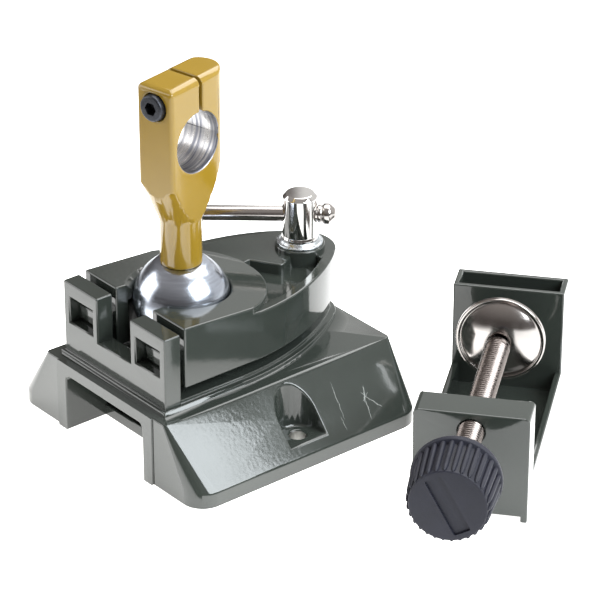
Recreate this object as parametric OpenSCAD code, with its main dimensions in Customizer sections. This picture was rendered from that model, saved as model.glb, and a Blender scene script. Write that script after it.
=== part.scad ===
// Ball-joint tool holder for a miniature power tool, with its table clamp lying beside it.
// Millimetres, +Z up. The origin is on the bench face, straight below the centre of the ball.
// +X runs along the front face of the base, and the two posts face -Y.

/* [Base] */
// Overall width across the two wings
base_w = 98; // [90:1:110]
// Height of the level deck above the bench
deck_h = 24.6; // [23:0.1:28]
// Height of the upright skirt round the wings
skirt_h = 5.2; // [4:0.1:7]
// Corner radius at the skirt
skirt_r = 8; // [5:0.5:9]
// Corner radius at the deck
deck_r = 1.5; // [1:0.25:3]
// Wall thickness of the hollow casting
base_wall = 3.5; // [2.5:0.1:4]
// Level strip of deck on each side of the plinth
deck_margin = 4.2; // [3:0.1:6]
// From the toggle screw's axis to the rear face
back_margin = 12.2; // [11:0.1:16]

/* [Tunnel and screw holes] */
// Thickness of the deck over the tunnel
deck_t = 4.1; // [3:0.1:5]
// Play of the table clamp's arm in the tunnel, both sides together
tunnel_play = 4.2; // [2:0.1:5]
// Depth of the tunnel from the front face
tunnel_len = 62; // [50:1:64]
// Thickness of the tunnel's floor plate
floor_t = 4.2; // [3:0.1:5]
// How far the floor plate stands back from the front face
floor_setback = 15; // [10:1:20]
// Thickness of the legs beside the tunnel's mouth
leg_t = 5; // [4:0.25:6]
// From the wing's edge in to the bench screw hole
screw_edge = 8.6; // [8:0.1:10]
// From the axis of the ball back to the bench screw holes
screw_y = 15.2; // [10:0.2:20]
// Diameter of the bench screw holes
screw_hole_d = 5.6; // [4:0.1:6.5]
// Width of the pockets over the screw holes
screw_pocket_w = 14.6; // [12:0.2:16]
// Height of the pockets' floor above the bench
screw_floor_h = 8.2; // [7:0.1:10]

/* [Posts] */
// Thickness of the post plate
post_t = 6.4; // [5:0.1:8]
// How far the post plate stands back from the front face
post_setback = 4.3; // [3.5:0.1:6]
// Width of metal outside each window
post_edge = 3; // [2:0.1:4]
// Rise of the posts' tops over the ball's centre
post_rise = 5.1; // [4:0.1:7]
// Width of the notch between the posts
notch_w = 17.6; // [15:0.2:20]
// Fall of the notch's floor below the ball's centre
notch_drop = 10.7; // [9:0.1:12]
// Width of each window
window_w = 12.6; // [11:0.1:13]
// Height of each window
window_h = 9.3; // [8:0.1:10.5]
// Fall of the windows' lower edge below the ball's centre
window_drop = 9.3; // [8:0.1:10]

/* [Ball clamp] */
// Width across the horseshoe
clamp_w = 53; // [50:0.25:58]
// From the axis of the ball to the front of the horseshoe's arms
clamp_front = 19.3; // [18.5:0.1:22]
// Gap between the horseshoe's arms and the posts
post_gap = 2; // [1:0.1:3]
// Rise of the ring's top over the ball's centre, at its front edge
ring_rise = 6.2; // [5.5:0.1:7]
// Fall of the ring's top towards the rear, in degrees
ring_fall = 3.6; // [3:0.1:4]
// How far the ring stands out past the horseshoe's half width
ring_over = 1.2; // [0.5:0.1:2]
// Rise of the tail's top over the ball's centre, just behind the ring
tail_rise = 3.2; // [2.6:0.1:3.6]
// Fall of the tail's top towards the rear, in degrees
tail_fall = 0.4; // [0:0.1:1]
// Fall of the clamp's underside below the ball's centre
clamp_drop = 15.2; // [13:0.1:16]
// Width of the slot that the stem passes through
slot_w = 19.1; // [16:0.1:21]
// From the axis of the ball to the toggle screw
toggle_y = 49.3; // [46:0.1:55]
// Radius of the rounded tail
tail_r = 12; // [11:0.1:14]
// Thickness of the rim beside the pocket
rim_t = 3.6; // [2.5:0.1:4.5]
// Depth of the pocket below the tail's top
pocket_depth = 4.1; // [3:0.1:6]

/* [Ball and tool arm] */
// Diameter of the ball
ball_d = 32; // [28:0.1:34]
// Rise of the ball's centre over the deck
ball_rise = 21.9; // [21:0.1:26]
// Diameter of the stem
stem_d = 13.7; // [11:0.1:15]
// Length of the arm from the ball's centre to its top
arm_len = 78.9; // [74:0.1:90]
// From the ball's centre to the start of the flare
neck_len = 29.3; // [26:0.1:34]
// From the arm's top down to the tool bore's axis
bore_drop = 21.4; // [19:0.1:24]
// Diameter of the tool bore, the collar size of miniature tools
bore_d = 20; // [18:0.05:21]
// Thickness of the arm's head along the bore
head_t = 14.6; // [12:0.1:18]
// Wall of the head between the bore and its flat end
flat_wall = 2.5; // [2:0.1:4]
// Wall of the head between the bore and its round end
end_wall = 5.8; // [5:0.1:7]
// Width of the slit above the bore
slit_w = 1.5; // [1:0.1:2]
// Turn of the arm on its stem, in degrees
arm_turn = 12.3; // [0:0.1:25]
// From the arm's top down to the pinch screw's axis
pinch_drop = 6.9; // [6:0.1:8]

/* [Toggle screw] */
// Diameter of the screw's head
toggle_head_d = 11.6; // [10:0.1:12.4]
// Length of the screw's head
toggle_head_len = 16.2; // [15:0.1:20]
// Rise of the washer's seat over the ball's centre
seat_rise = 4.7; // [4:0.1:5.4]
// Diameter of the screw's thread
toggle_thread_d = 8; // [6:0.1:8.4]
// Diameter of the sliding bar
bar_d = 5.2; // [4:0.1:6]
// Rise of the bar's axis over the head's base
bar_rise = 8.5; // [7.5:0.1:10]
// Length of bar between its end knobs
bar_len = 37.8; // [30:0.1:42]
// Turn of the bar from +Y towards +X, in degrees
bar_turn = 40.4; // [30:0.1:50]
// Diameter of the bar's end knobs
bar_knob_d = 7; // [6.4:0.1:8]
// Length of the bar's end knobs
bar_knob_len = 5.8; // [4.5:0.1:7]

/* [Table clamp] */
// Turn of the clamp on the bench, in degrees
frame_turn = 39.1; // [35:0.1:45]
// Width of the clamp's casting
frame_w = 36.8; // [34:0.1:40]
// Length of the box-shaped upper arm
box_len = 41; // [36:0.5:46]
// Thickness of the upper arm
box_t = 11.6; // [10:0.1:13]
// Wall thickness of the upper arm
box_wall = 1.9; // [1.4:0.1:2.5]
// Clear distance between the two arms
throat = 66; // [60:0.5:75]
// Height of the spine's side walls
spine_h = 11.6; // [9:0.1:14]
// Thickness of the spine's side walls
side_t = 2.2; // [1.6:0.1:3]
// Length of the lower arm
lower_len = 37.4; // [35:0.1:42]
// Thickness of the lower arm
lower_t = 11.8; // [10:0.1:14]

/* [Table clamp screw] */
// From the lower arm's free end down to the spindle's axis
spindle_edge = 6.3; // [5.5:0.1:8]
// Diameter of the spindle
spindle_d = 8.2; // [7:0.1:9]
// Diameter of the pressure plate
plate_d = 29.4; // [26:0.1:33]
// Gap between the pressure plate and the jaw face
jaw_gap = 14.6; // [8:0.2:25]
// Gap between the lower arm and the knob
knob_gap = 25.2; // [20:0.1:30]
// Length of the knob
knob_len = 19.75; // [15:0.25:24]
// Largest diameter of the knob
knob_d = 29; // [26:0.1:32]
// Number of grip ribs on the knob
knob_ribs = 30; // [24:2:36]

/* [Hidden] */
$fn = 64;
// Cutters reach this far past the faces that they open
eps = 0.5;
// Gap between pieces that slide or turn on each other
running = 0.05;
// Gap between the ball and its two seats
ball_gap = 0.25;
// Half the side of the blocks that cut a half space
far = 200;
// A teardrop's flanks end this far short of the point where they touch its nose
nose_lap = 1;

// Heights that follow the ball
ball_r = ball_d / 2;
ball_z = deck_h + ball_rise;
seat_r = ball_r + ball_gap;

// Ball clamp
ring_r = clamp_w / 2 + ring_over;
ring_top = ball_z + ring_rise;
tail_top = ball_z + tail_rise;
tail_bend = 12;
clamp_bottom = ball_z - clamp_drop;
clamp_tall = ring_top + ring_rise;
underside_rise = 4;
chamfer_rise = 3.4;
chamfer_h = 4;
bore_relief = 0.9;
boss_wall = 3.7;
boss_r = tail_r - boss_wall;
web_ring_x = -2.7;
web_ring_gap = 2.6;
web_boss_x = 7.2;
web_boss_gap = 13.1;
web_round = 2;
web_a = [web_ring_x, ring_r + web_ring_gap];
web_b = [web_boss_x, toggle_y - web_boss_gap];
rim_end_t = 0.8;
rim_drop = 1.1;
rim_run = 36;
rim_fall = tail_fall - atan(rim_drop / rim_run);
window_inset = 2.5;
window_outer = clamp_w / 2 - window_inset;
window_inner = window_outer - window_w;
window_z0 = ball_z - window_drop;
tongue_gap = 0.4;
tongue_room = 4;
tongue_h = window_h - tongue_room;
tongue_grip = 2.6;
toggle_clear = 0.3;

// Base
post_y1 = -clamp_front - post_gap;
post_y0 = post_y1 - post_t;
post_half = window_outer + post_edge;
base_y0 = post_y0 - post_setback;
base_y1 = toggle_y + back_margin;
plinth_side = 0.8;
plinth_front = 1.3;
plinth_half = post_half + plinth_side;
plinth_y0 = post_y0 - plinth_front;
plinth_h = 1.6;
plinth_step = 1.1;
plinth_inset = 1.8;
plinth_bend = 3;
plinth_top = deck_h + plinth_h + plinth_step;
deck_half = plinth_half + deck_margin;
tunnel_w = frame_w + tunnel_play;
tunnel_h = deck_h - deck_t;
tunnel_end = base_y0 + tunnel_len;
tunnel_r = 2;
core_half = tunnel_w / 2 + leg_t;
portal_proud = 0.5;
slope_wall = 1.6;
skirt_wall = 1.7;
screw_x = base_w / 2 - screw_edge;
screw_chamfer = 0.5;
socket_depth = 5.75;
pedestal_top = ball_z - seat_r + socket_depth;
pedestal_rim = 1.8;
pedestal_r = sqrt(seat_r * seat_r - pow(seat_r - socket_depth, 2)) + pedestal_rim;
pillar_r = 9;
pillar_rise = 0.6;
pillar_top = plinth_top + pillar_rise;

// Toggle screw and its insert
seat_z = ball_z + seat_rise;
washer_t = 1.8;
washer_margin = 1.85;
washer_r = toggle_head_d / 2 + washer_margin;
washer_rim = 0.9;
toggle_head_z = seat_z + washer_t + running;
toggle_top = toggle_head_z + toggle_head_len;
toggle_crown = 1.2;
collar_step = 0.3;
collar_r = toggle_head_d / 2 + collar_step;
collar_h = 1.2;
insert_wall = 2.4;
insert_flange = 1.6;
insert_r = toggle_thread_d / 2 + insert_wall;
insert_flange_r = insert_r + insert_flange;
insert_flange_t = 1.2;
insert_len = 14;
insert_clear = 0.7;
toggle_reach = 4;
toggle_end = pillar_top - insert_len - toggle_reach;
bar_z = toggle_head_z + bar_rise;
bar_gap = 0.15;
bar_out = toggle_head_d / 2 + bar_gap;
bar_in = bar_len - bar_out;
bar_knob_base = 0.5;
bar_knob_edge = 1.4;

// Ball and arm
ball_flat_depth = 2.5;
ball_flat = ball_r - ball_flat_depth;
stem_z0 = ball_z + ball_flat + running;
arm_top = ball_z + arm_len;
flare_z0 = ball_z + neck_len;
flare_len = 25;
bore_v = 0.8;
bore_z = arm_top - bore_drop;
head_flat = bore_d / 2 - bore_v + flat_wall;
head_end = bore_d / 2 + bore_v + end_wall;
head_corner = 1.6;
head_edge_r = 2.6;
flare_over = 0.8;
flare_r = head_end + flare_over;
slit_v = 2.5;
ball_screw_r = 3;
ball_screw_head_r = 4.6;
ball_screw_head_h = 4;
ball_screw_depth = 13;
ball_screw_sink = 1.4;
counterbore_z = ball_z - ball_r + ball_screw_head_h + ball_screw_sink;
pinch_z = arm_top - pinch_drop;
pinch_r = 2.5;
pinch_head_r = 4.4;
pinch_head_h = 5;
pinch_proud = 1.8;
pinch_reach = 10;
hex_r = 2.3;
hex_depth = 2.6;
head_clear = 0.2;

// Table clamp
frame_side = 5.8;
frame_behind = 31.6;
frame_x = base_w / 2 + frame_side;
frame_y = base_y1 + frame_behind;
spine_t = 2.6;
spine_foot = 2;
box_floor = 6;
lower_edge_r = 1.6;
spindle_z = lower_len - spindle_edge;
thread_clear = 0.15;
plate_t = 2;
plate_rise = 3.8;
plate_lip = 0.9;
plate_back = jaw_gap + plate_t;
hub_wall = 2.3;
hub_r = spindle_d / 2 + hub_wall;
hub_edge = 1.4;
shoulder_w = 3;
tip_step = 1.1;
tip_r = spindle_d / 2 - tip_step;
tip_inset = 1.2;
tip_z = jaw_gap + tip_inset;
tip_lead = 0.8;
rock_gap = 0.55;
retainer_w = 2.2;
retainer_r = tip_r + retainer_w;
retainer_t = 1.2;
shoulder_gap = 1.4;
shoulder_z = plate_back + plate_rise + shoulder_gap;
knob_back = throat + lower_t + knob_gap;
knob_face = knob_back + knob_len;
knob_taper = 1.3;
knob_front_r = knob_d / 2 - knob_taper;
knob_edge = 1.2;
knob_hub_wall = 3.4;
knob_hub_r = spindle_d / 2 + knob_hub_wall;
knob_hub_len = 3;
insert_hex_wall = 2.5;
insert_hex_r = spindle_d / 2 + insert_hex_wall;
insert_depth = 11;
rib_r = 1.2;
grip_core_inset = 0.3;
rib_inset = 0.15;
grip_core_r = knob_front_r - grip_core_inset;
rib_ring_r = knob_d / 2 - rib_inset - rib_r;
panel_l = 20;
panel_w = 5.6;
panel_depth = 0.8;
panel_turn = -62;

paint = [0.36, 0.39, 0.35];
ochre = [0.78, 0.55, 0.13];
chrome = [0.80, 0.80, 0.82];
steel = [0.55, 0.55, 0.57];
bright_alloy = [0.74, 0.75, 0.78];
black_oxide = [0.10, 0.10, 0.11];
navy = [0.27, 0.27, 0.32];
brass = [0.72, 0.58, 0.27];

// A cylinder along +Y, from y0 to y1
module along_y(r, y0, y1) {
    translate([0, y1, 0])
        rotate([90, 0, 0])
            cylinder(r = r, h = y1 - y0);
}

// An upright cylinder between two heights
module upright(r, z0, z1) {
    translate([0, 0, z0])
        cylinder(r = r, h = z1 - z0);
}

// A block given by its two corners
module block(low, high) {
    translate(low)
        cube(high - low);
}

// The +X shape and its mirror image on the -X side
module both_sides() {
    for (side = [0, 1])
        mirror([side, 0, 0])
            children();
}

// Loft between two rounded rectangles: wide at the skirt, narrow at the deck
module wing_loft(half_low, half_high, y0, y1, z0, z1, z2, r_low, r_high) {
    slice = 0.01;
    hull() {
        for (side = [-1, 1]) {
            for (low_y = [y0 + r_low, y1 - r_low])
                translate([side * (half_low - r_low), low_y, z0])
                    cylinder(r = r_low, h = z1 - z0, $fn = 48);
            for (high_y = [y0 + r_high, y1 - r_high])
                translate([side * (half_high - r_high), high_y, z2 - slice])
                    cylinder(r = r_high, h = slice, $fn = 48);
        }
    }
}

// Teardrop outline: straight sides from y0 to bend, then two arcs that meet a round nose
module teardrop(half, y0, bend, nose_y, nose_r) {
    run = nose_y - bend;
    arc_r = (half * half + run * run - nose_r * nose_r) / (2 * (half - nose_r));
    reach = arc_r * run / (arc_r - nose_r);
    translate([-half, y0])
        square([2 * half, bend - y0]);
    translate([0, nose_y])
        circle(r = nose_r);
    intersection() {
        translate([half - arc_r, bend])
            circle(r = arc_r, $fn = 180);
        translate([arc_r - half, bend])
            circle(r = arc_r, $fn = 180);
        translate([-half, bend - eps])
            square([2 * half, reach + eps - nose_lap]);
    }
}

// Everything above a plane that falls towards +Y and passes through height z at y
module above(z, y, fall) {
    translate([0, y, z])
        rotate([-fall, 0, 0])
            translate([-far, -far, 0])
                cube([2 * far, 2 * far, far]);
}

// Tunnel's cross-section, with rounded upper corners
module tunnel_profile() {
    half = tunnel_w / 2;
    translate([-half, -eps])
        square([tunnel_w, tunnel_h - tunnel_r + eps]);
    translate([tunnel_r - half, -eps])
        square([tunnel_w - 2 * tunnel_r, tunnel_h + eps]);
    for (side = [-1, 1])
        translate([side * (half - tunnel_r), tunnel_h - tunnel_r])
            circle(r = tunnel_r);
}

// Space inside the hollow wings and behind the tunnel
module base_cavity() {
    y0 = base_y0 + base_wall;
    y1 = base_y1 - base_wall;
    boss_d = screw_pocket_w + 2 * base_wall;
    difference() {
        wing_loft(base_w / 2 - base_wall, deck_half - slope_wall, y0, y1,
            -eps, skirt_h - skirt_wall, deck_h - base_wall, skirt_r - base_wall / 2, deck_r);
        block([-core_half, base_y0, -far], [core_half, base_y1, deck_h]);
        both_sides()
            translate([screw_x, screw_y, -eps])
                cylinder(d = boss_d, h = deck_h);
    }
    difference() {
        block([-tunnel_w / 2, tunnel_end + base_wall, -eps], [tunnel_w / 2, y1, tunnel_h]);
        translate([0, toggle_y, 0])
            upright(pillar_r, -far, deck_h);
    }
}

// Tunnel for the clamp's upper arm, open to the bench ahead of the floor plate
module tunnel_cut() {
    difference() {
        translate([0, tunnel_end, 0])
            rotate([90, 0, 0])
                linear_extrude(tunnel_len + portal_proud + eps)
                    tunnel_profile();
        block([-tunnel_w, base_y0 + floor_setback, -far], [tunnel_w, tunnel_end + eps, floor_t]);
    }
}

// Plate with the two posts, their notch and their windows
module posts() {
    post_top = ball_z + post_rise;
    difference() {
        block([-post_half, post_y0, deck_h - eps], [post_half, post_y1, post_top]);
        block([-notch_w / 2, post_y0 - eps, ball_z - notch_drop],
            [notch_w / 2, post_y1 + eps, post_top + eps]);
        both_sides()
            block([window_inner, post_y0 - eps, window_z0],
                [window_outer, post_y1 + eps, window_z0 + window_h]);
    }
}

// Raised two-step rim on the deck, with the outline of the clamp above it
module plinth() {
    upper_half = plinth_half - plinth_inset;
    translate([0, 0, deck_h - eps])
        linear_extrude(plinth_h + eps)
            teardrop(plinth_half, plinth_y0, plinth_bend, toggle_y, tail_r);
    translate([0, 0, deck_h])
        linear_extrude(plinth_h + plinth_step)
            teardrop(upper_half, plinth_y0 + plinth_inset, plinth_bend, toggle_y, tail_r - plinth_inset);
}

// Recess and hole for one bench screw, on the +X wing
module screw_pocket() {
    translate([screw_x, screw_y, screw_floor_h]) {
        cylinder(d = screw_pocket_w, h = deck_h);
        translate([0, -screw_pocket_w / 2, 0])
            cube([base_w, screw_pocket_w, deck_h]);
        upright(screw_hole_d / 2, -screw_floor_h - eps, eps);
        translate([0, 0, -screw_chamfer])
            cylinder(d1 = screw_hole_d, d2 = screw_hole_d + 4 * screw_chamfer, h = 2 * screw_chamfer);
    }
}

module base_casting() {
    color(paint)
    difference() {
        union() {
            wing_loft(base_w / 2, deck_half, base_y0, base_y1, 0, skirt_h, deck_h, skirt_r, deck_r);
            block([-core_half, base_y0 - portal_proud, 0], [core_half, 0, deck_h]);
            plinth();
            posts();
            upright(pedestal_r, deck_h - eps, pedestal_top);
            translate([0, toggle_y, 0])
                upright(pillar_r, 0, pillar_top);
        }
        base_cavity();
        tunnel_cut();
        translate([0, 0, ball_z])
            sphere(r = seat_r, $fn = 128);
        both_sides()
            screw_pocket();
        translate([0, toggle_y, 0]) {
            upright(insert_r, pillar_top - insert_len, pillar_top + eps);
            upright(toggle_thread_d / 2 + insert_clear, -eps, pillar_top);
        }
    }
}

// Flanged threaded insert that the toggle screw draws against
module base_insert() {
    foot = pillar_top - insert_len;
    color(steel)
    translate([0, toggle_y, 0])
        difference() {
            union() {
                upright(insert_r - running, foot, pillar_top);
                upright(insert_flange_r, pillar_top, pillar_top + insert_flange_t);
            }
            upright(toggle_thread_d / 2 + insert_clear, foot - eps, pillar_top + insert_flange_t + eps);
        }
}

// Outline of the ball clamp, drawn in by a margin
module clamp_outline(margin) {
    teardrop(clamp_w / 2 - margin, margin - clamp_front, tail_bend, toggle_y, tail_r - margin);
}

// Plan of the horseshoe, whose round end is the raised ring
module ring_plan() {
    intersection() {
        clamp_outline(0);
        union() {
            circle(r = ring_r, $fn = 128);
            translate([-clamp_w / 2, -clamp_front])
                square([clamp_w, clamp_front]);
        }
    }
}

// What the rounded corner of the web leaves free
module web_corner() {
    to_ring = (web_a - web_b) / norm(web_a - web_b);
    to_boss = ([0, toggle_y] - web_b) / norm([0, toggle_y] - web_b);
    half = acos(to_ring * to_boss) / 2;
    tangent = web_round / tan(half);
    difference() {
        polygon([web_b, web_b + tangent * to_ring, web_b + tangent * to_boss]);
        translate(web_b + (to_ring + to_boss) / norm(to_ring + to_boss) * web_round / sin(half))
            circle(r = web_round);
    }
}

// Plan of the near side of the tail, beyond the web between ring and boss
module near_side_plan(margin) {
    difference() {
        intersection() {
            clamp_outline(margin);
            union() {
                polygon([web_a, web_b, [0, toggle_y], [clamp_w, toggle_y], [clamp_w, 0], [0, 0]]);
                web_corner();
            }
        }
        ring_plan();
        translate([0, toggle_y])
            circle(r = boss_r);
    }
}

// Plan of the rim along the far side of the tail, which narrows from the ring to the nose
module far_rim_plan() {
    difference() {
        intersection() {
            clamp_outline(0);
            translate([-clamp_w, 0])
                square([clamp_w, toggle_y]);
        }
        teardrop(clamp_w / 2 - rim_t, 0, tail_bend, toggle_y, tail_r - rim_end_t);
        ring_plan();
    }
}

// Horseshoe, tail and boss, the first two cut by their falling tops
module clamp_body() {
    difference() {
        linear_extrude(clamp_tall)
            ring_plan();
        above(ring_top, -clamp_front, ring_fall);
    }
    difference() {
        linear_extrude(clamp_tall)
            difference() {
                clamp_outline(0);
                ring_plan();
            }
        above(tail_top, tail_bend, tail_fall);
    }
    translate([0, toggle_y, 0])
        upright(boss_r, 0, seat_z);
}

// One tongue of the +X side, standing in its post's window
module tongue() {
    z0 = window_z0 + tongue_gap;
    block([window_inner + tongue_gap, post_y1 - tongue_grip, z0],
        [window_outer - tongue_gap, eps - clamp_front, z0 + tongue_h]);
}

// Space under the clamp: level below the ring, then rising towards the tail
module clamp_underside() {
    translate([-far, -far, -far])
        cube([2 * far, 2 * far, far + clamp_bottom]);
    translate([0, tail_bend, clamp_bottom])
        rotate([underside_rise, 0, 0])
            translate([-far, 0, -far])
                cube([2 * far, far, far]);
}

// Spherical seat above the ball's middle, bored out below and chamfered above
module ball_seat() {
    lip_r = sqrt(seat_r * seat_r - chamfer_rise * chamfer_rise);
    translate([0, 0, ball_z]) {
        sphere(r = seat_r, $fn = 128);
        upright(seat_r + bore_relief, -ball_z, 0);
        translate([0, 0, chamfer_rise])
            cylinder(r1 = lip_r, r2 = lip_r + chamfer_h, h = chamfer_h);
    }
}

module ball_clamp() {
    color(paint)
    difference() {
        union() {
            clamp_body();
            both_sides()
                tongue();
        }
        clamp_underside();
        ball_seat();
        block([-slot_w / 2, -clamp_front - eps, 0], [slot_w / 2, 0, clamp_tall]);
        // the rim rises from the ring to the level of the tail, and the pocket lies inside its near side
        intersection() {
            linear_extrude(clamp_tall)
                union() {
                    near_side_plan(0);
                    far_rim_plan();
                }
            above(tail_top - rim_drop, tail_bend, rim_fall);
        }
        translate([0, 0, tail_top - pocket_depth])
            linear_extrude(clamp_tall)
                near_side_plan(rim_t);
        translate([0, toggle_y, 0])
            upright(toggle_thread_d / 2 + toggle_clear, 0, clamp_tall);
    }
}

// Dished washer under the toggle screw's head
module toggle_washer() {
    hole_r = toggle_thread_d / 2 + toggle_clear;
    color(steel)
    translate([0, toggle_y, seat_z])
        rotate_extrude()
            polygon([[hole_r, 0], [washer_r, 0], [washer_r, washer_rim],
                [washer_r - washer_rim, washer_t], [hole_r, washer_t]]);
}

module toggle_screw() {
    head_r = toggle_head_d / 2;
    thread_r = toggle_thread_d / 2;
    collar_z = toggle_head_z + collar_h;
    color(chrome)
    difference() {
        translate([0, toggle_y, 0])
            rotate_extrude()
                polygon([[0, toggle_end], [thread_r, toggle_end], [thread_r, toggle_head_z],
                    [collar_r, toggle_head_z], [collar_r, collar_z], [head_r, collar_z + collar_r - head_r],
                    [head_r, toggle_top - toggle_crown], [head_r - toggle_crown, toggle_top],
                    [0, toggle_top]]);
        bar_place()
            along_y(bar_d / 2 + bar_gap, -toggle_head_d, toggle_head_d);
    }
}

// Frame of the sliding bar: its axis along +Y, the screw's axis at the origin
module bar_place() {
    translate([0, toggle_y, bar_z])
        rotate([0, 0, -bar_turn])
            children();
}

module toggle_bar() {
    color(chrome)
    bar_place()
        along_y(bar_d / 2, -bar_in, bar_out);
}

// Round end knob with a chamfered face, standing on the bar's end along +Y
module bar_knob() {
    r = bar_knob_d / 2;
    rotate([-90, 0, 0])
        rotate_extrude()
            polygon([[0, 0], [r - bar_knob_base, 0], [r, bar_knob_base], [r, bar_knob_len - bar_knob_edge],
                [r - bar_knob_edge, bar_knob_len], [0, bar_knob_len]]);
}

module toggle_knob_near() {
    color(chrome)
    bar_place()
        translate([0, bar_out, 0])
            bar_knob();
}

module toggle_knob_far() {
    color(chrome)
    bar_place()
        translate([0, -bar_in, 0])
            rotate([0, 0, 180])
                bar_knob();
}

// Ball with a flat for the stem and a counterbored hole for the screw that holds it
module joint_ball() {
    color(bright_alloy)
    difference() {
        translate([0, 0, ball_z])
            sphere(r = ball_r, $fn = 128);
        translate([-far, -far, ball_z + ball_flat])
            cube([2 * far, 2 * far, far]);
        upright(ball_screw_r + 2 * running, 0, ball_z + ball_r);
        upright(ball_screw_head_r + head_clear, 0, counterbore_z);
    }
}

// Screw through the ball into the stem; the arm spins on its shank
module ball_screw() {
    foot = counterbore_z - ball_screw_head_h;
    color(black_oxide)
    difference() {
        union() {
            upright(ball_screw_head_r, foot, counterbore_z);
            upright(ball_screw_r, foot + hex_depth, stem_z0 + ball_screw_depth);
        }
        translate([0, 0, foot - eps])
            cylinder(r = hex_r, h = hex_depth + eps, $fn = 6);
    }
}

// Plan of the arm's head: one flat end, one round end
module head_plan() {
    half = head_t / 2;
    translate([-half, head_corner - head_flat])
        square([head_t, head_end - half + head_flat - head_corner]);
    translate([head_corner - half, -head_flat])
        square([head_t - 2 * head_corner, 2 * head_corner]);
    for (side = [-1, 1])
        translate([side * (half - head_corner), head_corner - head_flat])
            circle(r = head_corner);
    translate([0, head_end - half])
        circle(r = half);
}

// Upright section of the arm's head, both of its upper corners rounded
module head_section(width) {
    half = width / 2;
    translate([-half, 0])
        square([width, arm_top - head_edge_r]);
    translate([head_edge_r - half, 0])
        square([width - 2 * head_edge_r, arm_top]);
    for (side = [-1, 1])
        translate([side * (half - head_edge_r), arm_top - head_edge_r])
            circle(r = head_edge_r);
}

// Space that the arm's head may fill: its top is rounded over both faces and over its flat end
module head_space() {
    long = 4 * head_end;
    intersection() {
        rotate([90, 0, 0])
            linear_extrude(long, center = true)
                head_section(head_t);
        rotate([90, 0, 90])
            translate([long / 2 - head_flat, 0, 0])
                linear_extrude(2 * head_t, center = true)
                    head_section(long);
    }
}

module tool_arm() {
    flare_z1 = flare_z0 + flare_len;
    counterbore_v = pinch_head_h - pinch_proud - head_flat;
    color(ochre)
    rotate([0, 0, arm_turn])
        difference() {
            union() {
                upright(stem_d / 2, stem_z0, flare_z1);
                intersection() {
                    translate([0, 0, flare_z0])
                        linear_extrude(arm_len)
                            head_plan();
                    head_space();
                    union() {
                        translate([0, 0, flare_z0])
                            cylinder(r1 = stem_d / 2, r2 = flare_r, h = flare_len);
                        upright(flare_r, flare_z1, arm_top + eps);
                    }
                }
            }
            translate([0, bore_v, bore_z])
                rotate([0, 90, 0])
                    cylinder(d = bore_d, h = 2 * head_t, center = true, $fn = 128);
            block([-head_t, slit_v - slit_w / 2, bore_z], [head_t, slit_v + slit_w / 2, arm_top + eps]);
            translate([0, 0, pinch_z]) {
                along_y(pinch_r + running, -head_flat - eps, slit_v + pinch_reach + running);
                along_y(pinch_head_r + head_clear, -head_flat - eps, counterbore_v);
            }
            upright(ball_screw_r + running, stem_z0 - eps, stem_z0 + ball_screw_depth + eps);
        }
}

// Socket-head screw that draws the slit together
module pinch_screw() {
    face = -head_flat - pinch_proud;
    color(black_oxide)
    rotate([0, 0, arm_turn])
        translate([0, 0, pinch_z])
            difference() {
                union() {
                    along_y(pinch_head_r, face, face + pinch_head_h);
                    along_y(pinch_r, face + hex_depth, slit_v + pinch_reach);
                }
                translate([0, face + hex_depth, 0])
                    rotate([90, 0, 0])
                        cylinder(r = hex_r, h = hex_depth + eps, $fn = 6);
            }
}

// Frame of the table clamp: the jaw face at y = 0, the upper arm behind it, the spindle along -Y
module clamp_place() {
    translate([frame_x, frame_y, 0])
        rotate([0, 0, frame_turn])
            children();
}

// Lower arm's front view, with its two free corners rounded
module lower_arm_plan() {
    half = frame_w / 2;
    translate([-half, 0])
        square([frame_w, lower_len - lower_edge_r]);
    translate([lower_edge_r - half, 0])
        square([frame_w - 2 * lower_edge_r, lower_len]);
    for (side = [-1, 1])
        translate([side * (half - lower_edge_r), lower_len - lower_edge_r])
            circle(r = lower_edge_r);
}

module clamp_frame() {
    half = frame_w / 2;
    inner = half - side_t;
    outer_y = -throat - lower_t;
    color(paint)
    clamp_place()
        difference() {
            union() {
                block([-half, 0, 0], [half, box_t, box_len]);
                block([-half, outer_y, 0], [half, eps, spine_h]);
                translate([0, -throat, 0])
                    rotate([90, 0, 0])
                        linear_extrude(lower_t)
                            lower_arm_plan();
            }
            // hollow of the box-shaped arm, open at its end
            block([box_wall - half, box_wall, box_floor], [half - box_wall, box_t - box_wall, box_len + eps]);
            // channel of the spine, between its two side walls
            block([-inner, -throat, spine_foot + spine_t], [inner, 0, spine_h + eps]);
            // the spine stands on its side walls
            block([-inner, outer_y - eps, -eps], [inner, box_t + eps, spine_foot]);
            translate([0, 0, spindle_z])
                along_y(spindle_d / 2 + thread_clear, outer_y - eps, eps - throat);
        }
}

// Axis of the clamp's round parts: +Z runs from the jaw face to the knob
module spindle_axis() {
    clamp_place()
        translate([0, 0, spindle_z])
            rotate([90, 0, 0])
                children();
}

// Spindle with a thin tip that carries the pressure plate
module clamp_spindle() {
    r = spindle_d / 2;
    end = knob_back + insert_depth;
    color(chrome)
    spindle_axis()
        rotate_extrude()
            polygon([[0, tip_z], [tip_r, tip_z], [tip_r, shoulder_z], [r - tip_lead, shoulder_z],
                [r, shoulder_z + tip_lead], [r, end], [0, end]]);
}

// Ring on the spindle's tip that keeps the plate from coming off
module plate_retainer() {
    color(steel)
    spindle_axis()
        difference() {
            upright(retainer_r, tip_z, tip_z + retainer_t);
            upright(tip_r + running, tip_z - eps, tip_z + retainer_t + eps);
        }
}

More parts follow.
